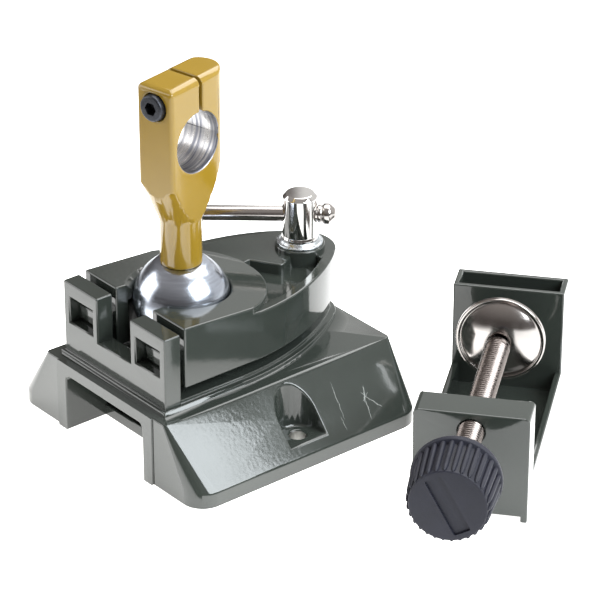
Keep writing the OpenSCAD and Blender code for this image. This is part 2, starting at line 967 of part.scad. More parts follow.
// Cupped pressure plate: flat rim, domed back and a hub that rocks on the spindle's tip
module pressure_plate() {
    r = plate_d / 2;
    top = plate_back + plate_rise;
    color(chrome)
    spindle_axis()
        difference() {
            rotate_extrude()
                polygon([[0, jaw_gap], [r - plate_lip, jaw_gap], [r, jaw_gap + plate_lip], [r, plate_back],
                    [r - plate_lip, plate_back + plate_lip / 2], [r - 2 * plate_lip, plate_back],
                    [hub_r + hub_edge + shoulder_w, top - hub_edge], [hub_r + hub_edge, top - hub_edge / 3],
                    [hub_r, top], [0, top]]);
            upright(retainer_r + rock_gap, jaw_gap - eps, tip_z + retainer_t + rock_gap);
            upright(tip_r + rock_gap, jaw_gap, top + eps);
        }
}

// Cross-section of the knob's grip: a round core with half-round ribs
module grip_plan() {
    circle(r = grip_core_r, $fn = 96);
    for (i = [0 : knob_ribs - 1])
        rotate(i * 360 / knob_ribs)
            translate([rib_ring_r, 0])
                circle(r = rib_r, $fn = 24);
}

// Outer form of the knob, which the ribs end in: it narrows towards the face
module knob_form() {
    rotate_extrude()
        polygon([[0, knob_back], [knob_d / 2 - knob_edge, knob_back], [knob_d / 2, knob_back + knob_edge],
            [knob_front_r, knob_face - knob_edge], [knob_front_r - knob_edge, knob_face], [0, knob_face]]);
}

// Knob: ribbed grip that narrows to a flat face with a plain recessed panel
module clamp_knob() {
    hub_z = knob_back - knob_hub_len;
    color(navy)
    spindle_axis()
        difference() {
            union() {
                intersection() {
                    translate([0, 0, knob_back - eps])
                        linear_extrude(knob_len + 2 * eps)
                            grip_plan();
                    knob_form();
                }
                upright(knob_hub_r, hub_z, knob_back + eps);
            }
            upright(spindle_d / 2 + thread_clear, hub_z - eps, knob_back + eps);
            translate([0, 0, knob_back])
                cylinder(r = insert_hex_r + running, h = insert_depth + running, $fn = 6);
            translate([0, 0, knob_face - panel_depth])
                rotate([0, 0, panel_turn])
                    translate([-panel_l / 2, -panel_w / 2, 0])
                        cube([panel_l, panel_w, panel_depth + eps]);
        }
}

// Threaded hexagon moulded into the knob
module knob_insert() {
    color(brass)
    spindle_axis()
        difference() {
            translate([0, 0, knob_back])
                cylinder(r = insert_hex_r, h = insert_depth, $fn = 6);
            upright(spindle_d / 2 + running, knob_back - eps, knob_back + insert_depth + eps);
        }
}

base_casting();
base_insert();
ball_clamp();
toggle_washer();
toggle_screw();
toggle_bar();
toggle_knob_near();
toggle_knob_far();
joint_ball();
ball_screw();
tool_arm();
pinch_screw();
clamp_frame();
clamp_spindle();
plate_retainer();
pressure_plate();
clamp_knob();
knob_insert();
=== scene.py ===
"""Dresses the ball-joint tool holder and its table clamp.

Enamelled castings, plated screws, a polished ball, a threaded spindle and a ribbed knob stand for the solids.
"""
import math

import bmesh
import bpy
from mathutils import Matrix, Vector


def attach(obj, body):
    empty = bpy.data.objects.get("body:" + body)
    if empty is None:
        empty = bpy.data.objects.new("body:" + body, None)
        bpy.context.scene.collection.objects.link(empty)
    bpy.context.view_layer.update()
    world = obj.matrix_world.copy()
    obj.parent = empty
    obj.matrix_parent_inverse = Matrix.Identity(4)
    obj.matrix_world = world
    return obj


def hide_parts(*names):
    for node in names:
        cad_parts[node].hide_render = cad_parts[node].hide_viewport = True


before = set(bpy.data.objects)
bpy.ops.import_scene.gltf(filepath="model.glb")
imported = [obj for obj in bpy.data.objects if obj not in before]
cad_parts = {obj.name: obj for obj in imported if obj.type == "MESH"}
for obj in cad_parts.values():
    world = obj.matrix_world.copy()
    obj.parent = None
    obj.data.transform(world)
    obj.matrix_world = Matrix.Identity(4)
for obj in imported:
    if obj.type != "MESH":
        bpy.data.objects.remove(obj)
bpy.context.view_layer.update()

MM = 0.001

# The photograph's camera: place and aim in metres, lens and sensor in millimetres
CAMERA_PLACE = (0.7685, -0.5813, 0.5569)
CAMERA_AIM = (-0.0740, 0.1101, -0.0216)
CAMERA_LENS = 202.14
CAMERA_SENSOR = 36

# The ball and the arm's bore; these sizes and those below them are the solids' own, in millimetres
BALL_Z = 46.5
BALL_R = 16.0
BALL_FLAT = 13.5
BALL_SCREW_R = 3.1
BALL_POCKET_R = 4.8
BALL_POCKET_TOP = -10.6
ARM_TURN = math.radians(12.3)
BORE_Z = 104.0
BORE_V = 0.8
BORE_R = 10.0

# The pinch screw
PINCH_Z = 118.5
PINCH_FACE = -13.5
PINCH_HEAD_R = 4.4
PINCH_HEAD_H = 5.0
PINCH_R = 2.5
PINCH_END = 12.5
HEX_R = 2.3
HEX_DEPTH = 2.6

# The toggle screw, its washer and its sliding bar
TOGGLE_Y = 49.3
TOGGLE_END = 9.9
TOGGLE_R = 4.0
TOGGLE_HEAD_R = 5.8
TOGGLE_HEAD_Z = 53.05
TOGGLE_TOP = 69.25
SEAT_Z = 51.2
WASHER_R = 7.65
WASHER_BORE_R = 4.3
BAR_Z = 61.55
BAR_R = 2.6
BAR_HOLE_R = 2.75
BAR_TURN = math.radians(40.4)
BAR_IN = -31.85
BAR_OUT = 5.95
BAR_KNOB_R = 3.5
BAR_KNOB_LEN = 5.8

# The table clamp's spindle and pressure plate
CLAMP_X = 54.8
CLAMP_Y = 93.1
CLAMP_TURN = math.radians(39.1)
SPINDLE_Z = 31.1
SPINDLE_R = 4.1
SPINDLE_TIP = 15.8
SPINDLE_TIP_R = 3.0
SPINDLE_SHOULDER = 21.8
SPINDLE_END = 114.0
THREAD_PITCH = 1.25
PLATE_R = 14.7
PLATE_FACE = 14.6
PLATE_TOP = 20.4
PLATE_HOLE_R = 3.55
PLATE_POCKET_R = 5.75
PLATE_POCKET_TOP = 17.55

# The knob, with its recessed panel's length, width and depth
KNOB_HUB = 100.0
KNOB_BACK = 103.0
KNOB_FACE = 122.75
KNOB_HUB_R = 7.5
KNOB_POCKET_R = 6.75
KNOB_RIBS = 30
PANEL = (20.0, 5.6, 0.8)
PANEL_TURN = math.radians(-62)

# The screw holes in the base's wings
WING_HOLES = ((40.4, 15.2), (-40.4, 15.2))
WING_HOLE_R = 2.8

# Axes that the turned pieces stand on, in metres: their +Z runs along the axis
BALL_AXIS = Matrix.Translation((0, 0, BALL_Z * MM))
TOGGLE_AXIS = Matrix.Translation((0, TOGGLE_Y * MM, 0))
BAR_AXIS = (Matrix.Translation((0, TOGGLE_Y * MM, BAR_Z * MM)) @ Matrix.Rotation(-BAR_TURN, 4, "Z")
            @ Matrix.Rotation(-math.pi / 2, 4, "X"))
PINCH_AXIS = (Matrix.Rotation(ARM_TURN, 4, "Z") @ Matrix.Translation((0, 0, PINCH_Z * MM))
              @ Matrix.Rotation(-math.pi / 2, 4, "X"))
SPINDLE_AXIS = (Matrix.Translation((CLAMP_X * MM, CLAMP_Y * MM, SPINDLE_Z * MM))
                @ Matrix.Rotation(CLAMP_TURN, 4, "Z") @ Matrix.Rotation(math.pi / 2, 4, "X"))


# Camera

def set_camera():
    """The photograph's view, for a square picture."""
    camera = bpy.data.objects.new("camera", bpy.data.cameras.new("camera"))
    bpy.context.scene.collection.objects.link(camera)
    camera.data.sensor_width = CAMERA_SENSOR
    camera.data.lens = CAMERA_LENS
    camera.location = CAMERA_PLACE
    camera.rotation_euler = (Vector(CAMERA_AIM) - camera.location).to_track_quat("-Z", "Y").to_euler()
    bpy.context.scene.camera = camera


# Nodes and colours

def linear(code):
    """An sRGB hex colour as linear RGBA."""
    parts = [int(code[i:i + 2], 16) / 255 for i in (1, 3, 5)]
    return [c / 12.92 if c <= 0.04045 else ((c + 0.055) / 1.055) ** 2.4 for c in parts] + [1.0]


def add(tree, kind, inputs=None, **settings):
    """Adds a node; each input that is named or numbered gets a value or the socket that feeds it."""
    node = tree.nodes.new(kind)
    for name, value in settings.items():
        setattr(node, name, value)
    for name, value in (inputs or {}).items():
        if isinstance(value, bpy.types.NodeSocket):
            tree.links.new(value, node.inputs[name])
        else:
            node.inputs[name].default_value = value
    return node


def new_material(name, **constants):
    """A material with one Principled shader; gives it, its tree, the shader and its places in millimetres."""
    material = bpy.data.materials.new(name)
    material.use_nodes = True
    tree = material.node_tree
    shader = tree.nodes["Principled BSDF"]
    for socket, value in constants.items():
        shader.inputs[socket.replace("_", " ")].default_value = value
    place = add(tree, "ShaderNodeTexCoord").outputs["Object"]
    in_mm = add(tree, "ShaderNodeVectorMath", {0: place, 1: (1 / MM, 1 / MM, 1 / MM)}, operation="MULTIPLY")
    return material, tree, shader, in_mm.outputs[0]


# Materials; every pattern's width is in millimetres

# Rubs on the slope of the near wing: where each one starts and ends, and half its width
WING_SCUFFS = (
    ((39.4, 43.6, 16.1), (43.6, 41.2, 11.3), 0.3),
    ((42.6, 42.0, 12.5), (47.4, 40.9, 7.0), 0.22),
    ((42.2, 42.6, 13.0), (45.8, 47.2, 8.9), 0.22),
    ((40.6, 41.4, 14.7), (43.4, 43.6, 11.5), 0.12),
    ((41.2, 44.2, 14.1), (43.0, 40.6, 12.0), 0.12),
    ((35.8, 32.3, 20.2), (45.4, 31.3, 9.2), 0.14),
    ((43.8, 30.2, 11.1), (47.4, 30.4, 7.0), 0.12),
)
# The slope's outward direction, and how far off the slope a rub still takes hold
WING_OUT = Vector((0.752, 0, 0.659))
SCUFF_REACH = 2.0


def rub_marks(tree, place, scuffs):
    """How far the enamel is rubbed at each place: streaks with wavering sides, patchy along their length."""
    ripple = add(tree, "ShaderNodeTexNoise", {"Vector": place, "Scale": 1 / 1.6, "Detail": 3.0})
    wander = add(tree, "ShaderNodeVectorMath", {0: ripple.outputs["Color"], 1: (1.0, 1.0, 1.0), 2: place},
                 operation="MULTIPLY_ADD")
    centred = add(tree, "ShaderNodeVectorMath", {0: wander.outputs[0], 1: (0.5, 0.5, 0.5)},
                  operation="SUBTRACT")
    marks = []
    for start, end, half_width in scuffs:
        along = Vector(end) - Vector(start)
        across = WING_OUT.cross(along.normalized())
        turn = Matrix((along.normalized(), across, WING_OUT)).transposed().to_euler()
        stroke = add(tree, "ShaderNodeMapping",
                     {"Vector": centred.outputs[0], "Location": (Vector(start) + Vector(end)) / 2,
                      "Rotation": turn, "Scale": (along.length / 2, half_width, SCUFF_REACH)},
                     vector_type="TEXTURE")
        span = add(tree, "ShaderNodeVectorMath", {0: stroke.outputs[0]}, operation="ABSOLUTE")
        sides = add(tree, "ShaderNodeSeparateXYZ", {0: span.outputs[0]})
        length = add(tree, "ShaderNodeMapRange",
                     {"Value": sides.outputs["X"], "From Min": 1.0, "From Max": 0.6})
        width = add(tree, "ShaderNodeMapRange",
                    {"Value": sides.outputs["Y"], "From Min": 1.0, "From Max": 0.1})
        depth = add(tree, "ShaderNodeMath", {0: sides.outputs["Z"], 1: 1.0}, operation="LESS_THAN")
        patch = add(tree, "ShaderNodeMath", {0: length.outputs[0], 1: width.outputs[0]},
                    operation="MULTIPLY")
        mark = add(tree, "ShaderNodeMath", {0: patch.outputs[0], 1: depth.outputs[0]},
                   operation="MULTIPLY")
        marks.append(mark.outputs[0])
    rubbed = marks[0]
    for mark in marks[1:]:
        rubbed = add(tree, "ShaderNodeMath", {0: rubbed, 1: mark}, operation="MAXIMUM").outputs[0]
    worn = add(tree, "ShaderNodeMath", {0: rubbed, 1: ripple.outputs["Fac"]}, operation="MULTIPLY")
    strength = add(tree, "ShaderNodeMapRange", {"Value": worn.outputs[0], "From Min": 0.06, "From Max": 0.5,
                                                "To Max": 0.4})
    return strength.outputs[0]


def stoved_enamel(name, body_colour, deep_colour, scuffs=()):
    """Gloss enamel stoved on a die casting: a thick glassy skin over one dark pigment.

    Its dimples, the orange peel, are about a millimetre wide and break up the edge of every reflected lamp.
    Rubs show as pale, dull streaks.
    """
    material, tree, shader, place = new_material(name, IOR=1.58)
    cloud = add(tree, "ShaderNodeTexNoise", {"Vector": place, "Scale": 1 / 18, "Detail": 3.0})
    tone = add(tree, "ShaderNodeMix",
               {0: cloud.outputs["Fac"], 6: linear(deep_colour), 7: linear(body_colour)}, data_type="RGBA")
    dull = add(tree, "ShaderNodeMapRange", {"Value": cloud.outputs["Fac"], "From Min": 0.3, "From Max": 0.7,
                                            "To Min": 0.06, "To Max": 0.11})
    colour = tone.outputs[2]
    roughness = dull.outputs["Result"]
    if scuffs:
        rubbed = rub_marks(tree, place, scuffs)
        colour = add(tree, "ShaderNodeMix", {0: rubbed, 6: colour, 7: linear("#b4b8b4")},
                     data_type="RGBA").outputs[2]
        roughness = add(tree, "ShaderNodeMix", {0: rubbed, 2: roughness, 3: 0.5}).outputs[0]
    dimples = add(tree, "ShaderNodeTexNoise",
                  {"Vector": place, "Scale": 1 / 1.3, "Detail": 1.0, "Roughness": 0.4})
    peel = add(tree, "ShaderNodeBump",
               {"Strength": 1.0, "Distance": 0.009 * MM, "Height": dimples.outputs["Fac"]})
    tree.links.new(colour, shader.inputs["Base Color"])
    tree.links.new(roughness, shader.inputs["Roughness"])
    tree.links.new(peel.outputs[0], shader.inputs["Normal"])
    return material


def polished_aluminium():
    """Turned and buffed aluminium ball: bluish white metal with faint rings and a slightly hazy shine."""
    material, tree, shader, place = new_material("polished_aluminium", Metallic=1.0)
    rings = add(tree, "ShaderNodeMapping", {"Vector": place, "Scale": (0.12, 0.12, 1.6)})
    buff = add(tree, "ShaderNodeTexNoise", {"Vector": rings.outputs[0], "Scale": 1.0, "Detail": 5.0})
    haze = add(tree, "ShaderNodeMapRange", {"Value": buff.outputs["Fac"], "From Min": 0.3, "From Max": 0.7,
                                            "To Min": 0.18, "To Max": 0.25})
    tint = add(tree, "ShaderNodeMix", {0: buff.outputs["Fac"], 6: linear("#9aa1ae"), 7: linear("#bfc5cf")},
               data_type="RGBA")
    marks = add(tree, "ShaderNodeBump",
                {"Strength": 0.3, "Distance": 0.004 * MM, "Height": buff.outputs["Fac"]})
    tree.links.new(tint.outputs[2], shader.inputs["Base Color"])
    tree.links.new(haze.outputs[0], shader.inputs["Roughness"])
    tree.links.new(marks.outputs[0], shader.inputs["Normal"])
    return material


def bored_aluminium():
    """The arm's bare bore: the boring tool leaves uneven rings, a millimetre wide, that streak the light."""
    material, tree, shader, place = new_material("bored_aluminium", Metallic=1.0)
    square_on = add(tree, "ShaderNodeMapping",
                    {"Vector": place, "Rotation": (0, 0, ARM_TURN), "Scale": (0.9, 20, 20)},
                    vector_type="TEXTURE")
    cuts = add(tree, "ShaderNodeTexNoise", {"Vector": square_on.outputs[0], "Scale": 1.0, "Detail": 3.0})
    streak = add(tree, "ShaderNodeMapRange",
                 {"Value": cuts.outputs["Fac"], "From Min": 0.35, "From Max": 0.65})
    tint = add(tree, "ShaderNodeMix", {0: streak.outputs[0], 6: linear("#7d7f88"), 7: linear("#d2d0ce")},
               data_type="RGBA")
    dull = add(tree, "ShaderNodeMapRange", {"Value": streak.outputs[0], "To Min": 0.4, "To Max": 0.24})
    rings = add(tree, "ShaderNodeBump",
                {"Strength": 1.0, "Distance": 0.03 * MM, "Height": cuts.outputs["Fac"]})
    tree.links.new(tint.outputs[2], shader.inputs["Base Color"])
    tree.links.new(dull.outputs[0], shader.inputs["Roughness"])
    tree.links.new(rings.outputs[0], shader.inputs["Normal"])
    return material


def bright_plating(name, tint, sharpest, haziest):
    """Bright plating on turned steel: a near mirror, with long shallow waves from the buffing wheel."""
    material, tree, shader, place = new_material(name, Metallic=1.0)
    shader.inputs["Base Color"].default_value = linear(tint)
    waves = add(tree, "ShaderNodeTexNoise", {"Vector": place, "Scale": 1 / 3.5, "Detail": 2.0})
    gloss = add(tree, "ShaderNodeMapRange", {"Value": waves.outputs["Fac"], "From Min": 0.3, "From Max": 0.7,
                                             "To Min": sharpest, "To Max": haziest})
    buff = add(tree, "ShaderNodeBump",
               {"Strength": 0.6, "Distance": 0.01 * MM, "Height": waves.outputs["Fac"]})
    tree.links.new(gloss.outputs[0], shader.inputs["Roughness"])
    tree.links.new(buff.outputs[0], shader.inputs["Normal"])
    return material


def plated_thread():
    """Rolled and dull-plated screw: brownish grey nickel that is hazy between its bright crests."""
    material, tree, shader, place = new_material("plated_thread", Metallic=1.0)
    grime = add(tree, "ShaderNodeTexNoise", {"Vector": place, "Scale": 1 / 0.8, "Detail": 3.0})
    tint = add(tree, "ShaderNodeMix", {0: grime.outputs["Fac"], 6: linear("#4f4845"), 7: linear("#8a827e")},
               data_type="RGBA")
    dull = add(tree, "ShaderNodeMapRange", {"Value": grime.outputs["Fac"], "From Min": 0.3, "From Max": 0.7,
                                            "To Min": 0.18, "To Max": 0.34})
    tree.links.new(tint.outputs[2], shader.inputs["Base Color"])
    tree.links.new(dull.outputs[0], shader.inputs["Roughness"])
    return material


def zinc_plate():
    """Zinc plating: pale bluish metal with a soft, cloudy shine."""
    material, tree, shader, place = new_material("zinc_plate", Metallic=1.0)
    cloud = add(tree, "ShaderNodeTexNoise", {"Vector": place, "Scale": 1 / 1.5, "Detail": 4.0})
    tint = add(tree, "ShaderNodeMix", {0: cloud.outputs["Fac"], 6: linear("#b4bcc4"), 7: linear("#dde1e3")},
               data_type="RGBA")
    shine = add(tree, "ShaderNodeMapRange", {"Value": cloud.outputs["Fac"], "From Min": 0.3, "From Max": 0.7,
                                             "To Min": 0.2, "To Max": 0.36})
    tree.links.new(tint.outputs[2], shader.inputs["Base Color"])
    tree.links.new(shine.outputs[0], shader.inputs["Roughness"])
    return material


def black_oxide():
    """Blackened steel screw: a dark satin skin, a little paler where the key has rubbed it."""
    material, tree, shader, place = new_material("black_oxide", Metallic=0.85)
    grain = add(tree, "ShaderNodeTexNoise", {"Vector": place, "Scale": 1 / 0.5, "Detail": 3.0})
    tint = add(tree, "ShaderNodeMix", {0: grain.outputs["Fac"], 6: linear("#17181b"), 7: linear("#4a4c52")},
               data_type="RGBA")
    satin = add(tree, "ShaderNodeMapRange", {"Value": grain.outputs["Fac"], "To Min": 0.3, "To Max": 0.46})
    tree.links.new(tint.outputs[2], shader.inputs["Base Color"])
    tree.links.new(satin.outputs[0], shader.inputs["Roughness"])
    return material


def moulded_nylon():
    """Nylon knob from a spark-eroded mould: dark bluish grey, matt, with a fine even grain.

    The grain is drawn 0.4 mm wide, coarser than the real one, so that it shows.
    """
    material, tree, shader, place = new_material("moulded_nylon", IOR=1.53, Specular_IOR_Level=0.3)
    cloud = add(tree, "ShaderNodeTexNoise", {"Vector": place, "Scale": 1 / 6, "Detail": 2.0})
    tint = add(tree, "ShaderNodeMix", {0: cloud.outputs["Fac"], 6: linear("#14151e"), 7: linear("#1c1d2a")},
               data_type="RGBA")
    grain = add(tree, "ShaderNodeTexNoise", {"Vector": place, "Scale": 1 / 0.4, "Detail": 1.0})
    matt = add(tree, "ShaderNodeMapRange", {"Value": grain.outputs["Fac"], "To Min": 0.5, "To Max": 0.66})
    pits = add(tree, "ShaderNodeBump",
               {"Strength": 0.7, "Distance": 0.02 * MM, "Height": grain.outputs["Fac"]})
    tree.links.new(tint.outputs[2], shader.inputs["Base Color"])
    tree.links.new(matt.outputs[0], shader.inputs["Roughness"])
    tree.links.new(pits.outputs[0], shader.inputs["Normal"])
    return material


def bare_casting():
    """Bare die-cast alloy where a hole was drilled through the enamel: grey, with a soft cloudy shine."""
    material, tree, shader, place = new_material("bare_casting", Metallic=1.0, Roughness=0.34)
    cloud = add(tree, "ShaderNodeTexNoise", {"Vector": place, "Scale": 1 / 1.2, "Detail": 3.0})
    tint = add(tree, "ShaderNodeMix", {0: cloud.outputs["Fac"], 6: linear("#a4a4a2"), 7: linear("#c9c9c6")},
               data_type="RGBA")
    tree.links.new(tint.outputs[2], shader.inputs["Base Color"])
    return material


def turned_brass():
    """Turned brass nut: warm yellow metal, clouded where the turning tool has marked it."""
    material, tree, shader, place = new_material("turned_brass", Metallic=1.0, Roughness=0.28)
    marks = add(tree, "ShaderNodeTexNoise", {"Vector": place, "Scale": 1 / 0.6, "Detail": 2.0})
    tint = add(tree, "ShaderNodeMix", {0: marks.outputs["Fac"], 6: linear("#a8843a"), 7: linear("#d6b463")},
               data_type="RGBA")
    tree.links.new(tint.outputs[2], shader.inputs["Base Color"])
    return material


# The light table in millimetres: the spot that glows most, how far the glow reaches, the way to its front
# edge, and the distances between which painted shade turns its colour grey that way
GLOW_CENTRE = (-20, -10, 0)
GLOW_INNER = 40
GLOW_OUTER = 260
EDGE_SHADE_WAY = (-0.6, -0.8, 0)
EDGE_SHADE_START = 150
EDGE_SHADE_END = 270


def opal_acrylic():
    """Opal acrylic lit from below: brightest under the object, so that nothing casts a shadow."""
    material, tree, shader, place = new_material("opal_acrylic", Roughness=0.6, Specular_IOR_Level=0.2)
    shader.inputs["Emission Color"].default_value = linear("#fffefc")
    cloud = add(tree, "ShaderNodeTexNoise", {"Vector": place, "Scale": 1 / 60, "Detail": 2.0})
    tint = add(tree, "ShaderNodeMix", {0: cloud.outputs["Fac"], 6: linear("#eeeeed"), 7: linear("#f4f4f3")},
               data_type="RGBA")
    # painted shade: the table's colour turns grey towards its front edge
    out = add(tree, "ShaderNodeVectorMath", {0: place, 1: EDGE_SHADE_WAY}, operation="DOT_PRODUCT")
    dim = add(tree, "ShaderNodeMapRange",
              {"Value": out.outputs["Value"], "From Min": EDGE_SHADE_START, "From Max": EDGE_SHADE_END})
    colour = add(tree, "ShaderNodeMix", {0: dim.outputs[0], 6: tint.outputs[2], 7: linear("#8a8886")},
                 data_type="RGBA")
    away = add(tree, "ShaderNodeVectorMath", {0: place, 1: GLOW_CENTRE}, operation="DISTANCE")
    glow = add(tree, "ShaderNodeMapRange",
               {"Value": away.outputs["Value"], "From Min": GLOW_OUTER, "From Max": GLOW_INNER,
                "To Min": 0.2, "To Max": 1.9}, interpolation_type="SMOOTHSTEP")
    tree.links.new(colour.outputs[2], shader.inputs["Base Color"])
    tree.links.new(glow.outputs[0], shader.inputs["Emission Strength"])
    return material


# Shapes

# How close together points count as one, in millimetres: on a solid's copy, and where two rims meet
WELD = 0.004
SEAM = 0.002
# The cosine above which two faces lie in one flat area, and the angle above which they meet in a corner
FLAT = 0.999999
CORNER_ANGLE = math.radians(28)
# How far a cutter stands out of the face that it cuts, in millimetres
CUT_OVER = 1.0


def rounded(points, closed, steps=5):
    """A profile with its corners rounded: each point is (radius, height) or (radius, height, rounding)."""
    smooth = []
    for i, point in enumerate(points):
        corner = Vector(point[:2])
        if len(point) == 2 or (not closed and i in (0, len(points) - 1)):
            smooth.append(corner)
            continue
        back = (Vector(points[i - 1][:2]) - corner).normalized()
        on = (Vector(points[(i + 1) % len(points)][:2]) - corner).normalized()
        half = back.angle(on) / 2
        centre = corner + (back + on).normalized() * point[2] / math.sin(half)
        arm = corner + back * point[2] / math.tan(half) - centre
        leave = corner + on * point[2] / math.tan(half) - centre
        sweep = math.atan2(arm.x * leave.y - arm.y * leave.x, arm.dot(leave))
        smooth += [centre + Matrix.Rotation(sweep * k / steps, 2) @ arm for k in range(steps + 1)]
    return smooth


def turned(profile, axis, closed=True, segments=96):
    """A mesh turned about an axis from a profile of (radius, height) points in millimetres."""
    mesh = bpy.data.meshes.new("turned")
    shell = bmesh.new()
    rings = []
    for radius, height in profile:
        spokes = segments if radius > 0 else 1
        angles = [math.tau * k / segments for k in range(spokes)]
        rings.append([shell.verts.new((radius * MM * math.cos(a), radius * MM * math.sin(a), height * MM))
                      for a in angles])
    for low, high in zip(rings, rings[1:] + (rings[:1] if closed else [])):
        if len(low) == len(high) == 1:
            continue
        for k in range(segments):
            n = (k + 1) % segments
            corners = (low[k % len(low)], low[n % len(low)], high[n % len(high)], high[k % len(high)])
            shell.faces.new(dict.fromkeys(corners))
    bmesh.ops.recalc_face_normals(shell, faces=shell.faces)
    shell.transform(axis)
    shell.to_mesh(mesh)
    shell.free()
    return mesh


def prism(outline, low, high, axis):
    """A mesh on an outline of (x, y) points, between two heights along an axis, in millimetres."""
    mesh = bpy.data.meshes.new("prism")
    block = bmesh.new()
    foot = block.faces.new([block.verts.new((x * MM, y * MM, low * MM)) for x, y in outline])
    risen = bmesh.ops.extrude_face_region(block, geom=[foot])
    top = [v for v in risen["geom"] if isinstance(v, bmesh.types.BMVert)]
    bmesh.ops.translate(block, verts=top, vec=(0, 0, (high - low) * MM))
    bmesh.ops.recalc_face_normals(block, faces=block.faces)
    block.transform(axis)
    block.to_mesh(mesh)
    block.free()
    return mesh


def holder_of(mesh):
    """An object in the scene that holds a mesh while modifiers work on it."""
    holder = bpy.data.objects.new("holder", mesh)
    bpy.context.scene.collection.objects.link(holder)
    return holder


def evaluated(holder):
    """The plain mesh of an object with its modifiers applied; the object is removed."""
    mesh = bpy.data.meshes.new_from_object(holder.evaluated_get(bpy.context.evaluated_depsgraph_get()))
    bpy.data.objects.remove(holder)
    return mesh


def cut(mesh, cutter):
    """A mesh with the cutter's space taken out of it."""
    solid, tool = holder_of(mesh), holder_of(cutter)
    boolean = solid.modifiers.new("cut", "BOOLEAN")
    boolean.object = tool
    boolean.solver = "EXACT"
    result = evaluated(solid)
    bpy.data.objects.remove(tool)
    return result


def joined(*meshes):
    """One mesh from several, closed where their rims meet."""
    whole = bpy.data.meshes.new("joined")
    shell = bmesh.new()
    for mesh in meshes:
        shell.from_mesh(mesh)
    bmesh.ops.remove_doubles(shell, verts=shell.verts, dist=SEAM * MM)
    bmesh.ops.recalc_face_normals(shell, faces=shell.faces)
    shell.to_mesh(whole)
    shell.free()
    return whole


def smoothed(mesh, degrees=38):
    """Smooth shading that keeps the edges sharper than an angle."""
    mesh.shade_smooth()
    mesh.set_sharp_from_angle(angle=math.radians(degrees))
    return mesh


def flat_area(seed, unseen):
    """The faces that lie in one flat area with a face; they are taken out of the unseen ones."""
    unseen.discard(seed)
    area, waiting = [seed], [seed]
    while waiting:
        for edge in waiting.pop().edges:
            for other in edge.link_faces:
                if other in unseen and other.normal.dot(seed.normal) > FLAT:
                    unseen.discard(other)
                    area.append(other)
                    waiting.append(other)
    return area


def has_single_rim(area):
    """Whether one closed rim goes round an area of faces."""
    inside = set(area)
    rim = [e for face in area for e in face.edges if len(inside.intersection(e.link_faces)) == 1]
    beside = {}
    for edge in rim:
        beside.setdefault(edge.verts[0], []).append(edge.verts[1])
        beside.setdefault(edge.verts[1], []).append(edge.verts[0])
    walk, reached = [rim[0].verts[0]], {rim[0].verts[0]}
    while walk:
        for vertex in beside[walk.pop()]:
            if vertex not in reached:
                reached.add(vertex)
                walk.append(vertex)
    return len(reached) == len(beside) == len(rim)


def join_flat_faces(skin):
    """Makes one face of the triangles of each flat area, where a single closed rim goes round it."""
    unseen = set(skin.faces)
    areas = [flat_area(face, unseen) for face in skin.faces if face in unseen]
    for area in [area for area in areas if len(area) > 1 and has_single_rim(area)]:
        bmesh.utils.face_join(area)


def in_wing_hole(place, margin, holes):
    """Whether a place, in metres, lies in one of the upright screw holes or within a margin of its wall."""
    return any(math.dist(place.xy / MM, hole) < WING_HOLE_R + margin for hole in holes)


def enamel_skin(node, rounding, drilled=()):
    """A copy of a casting's solid whose outside corners are rounded as a thick coat of enamel rounds them.

    The rims of upright holes at the drilled places stay sharp, and so do edges beside a face that is narrower
    than the rounding.
    """
    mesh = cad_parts[node].data.copy()
    skin = bmesh.new()
    skin.from_mesh(mesh)
    bmesh.ops.remove_doubles(skin, verts=skin.verts, dist=WELD * MM)
    bmesh.ops.dissolve_degenerate(skin, dist=WELD * MM, edges=skin.edges)
    skin.normal_update()
    join_flat_faces(skin)
    skin.normal_update()
    rims = {v for v in skin.verts if in_wing_hole(v.co, 0.1, drilled)}
    edges = [e for e in skin.edges if e.is_manifold and e.is_convex and e.calc_face_angle() > CORNER_ANGLE
             and min(f.calc_area() for f in e.link_faces) > rounding * MM * e.calc_length()
             and not rims.issuperset(e.verts)]
    bmesh.ops.bevel(skin, geom=edges, offset=rounding * MM, offset_type="OFFSET", segments=3, profile=0.5,
                    affect="EDGES", clamp_overlap=False)
    skin.to_mesh(mesh)
    skin.free()
    mesh.materials.clear()
    holder = holder_of(smoothed(mesh, 42))
    holder.modifiers.new("flat faces stay flat", "WEIGHTED_NORMAL").keep_sharp = True
    return evaluated(holder)


def show(name, mesh, materials, body, slot, *nodes):
    """Puts a finished mesh in the scene as a piece that rides on a body and stands for these solids."""
    mesh.name = name
    for material in materials[len(mesh.materials):]:
        mesh.materials.append(material)
    piece = bpy.data.objects.new(name, mesh)
    bpy.context.scene.collection.objects.link(piece)
    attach(piece, body)
    if nodes:
        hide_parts(*nodes)


# Geometry Nodes for what repeats

def new_tree(name, sizes):
    """An empty Geometry Nodes tree with its named inputs; gives the tree and its input sockets."""
    tree = bpy.data.node_groups.new(name, "GeometryNodeTree")
    for label, kind in sizes.items():
        tree.interface.new_socket(label, in_out="INPUT", socket_type=kind)
    tree.interface.new_socket("Mesh", in_out="OUTPUT", socket_type="NodeSocketGeometry")
    return tree, add(tree, "NodeGroupInput").outputs


def grown(tree, values):
    """The plain mesh that a Geometry Nodes tree makes from these values."""
    holder = holder_of(bpy.data.meshes.new(tree.name))
    modifier = holder.modifiers.new(tree.name, "NODES")
    modifier.node_group = tree
    for socket in tree.interface.items_tree:
        if socket.in_out == "INPUT":
            modifier[socket.identifier] = values[socket.name]
    return evaluated(holder)


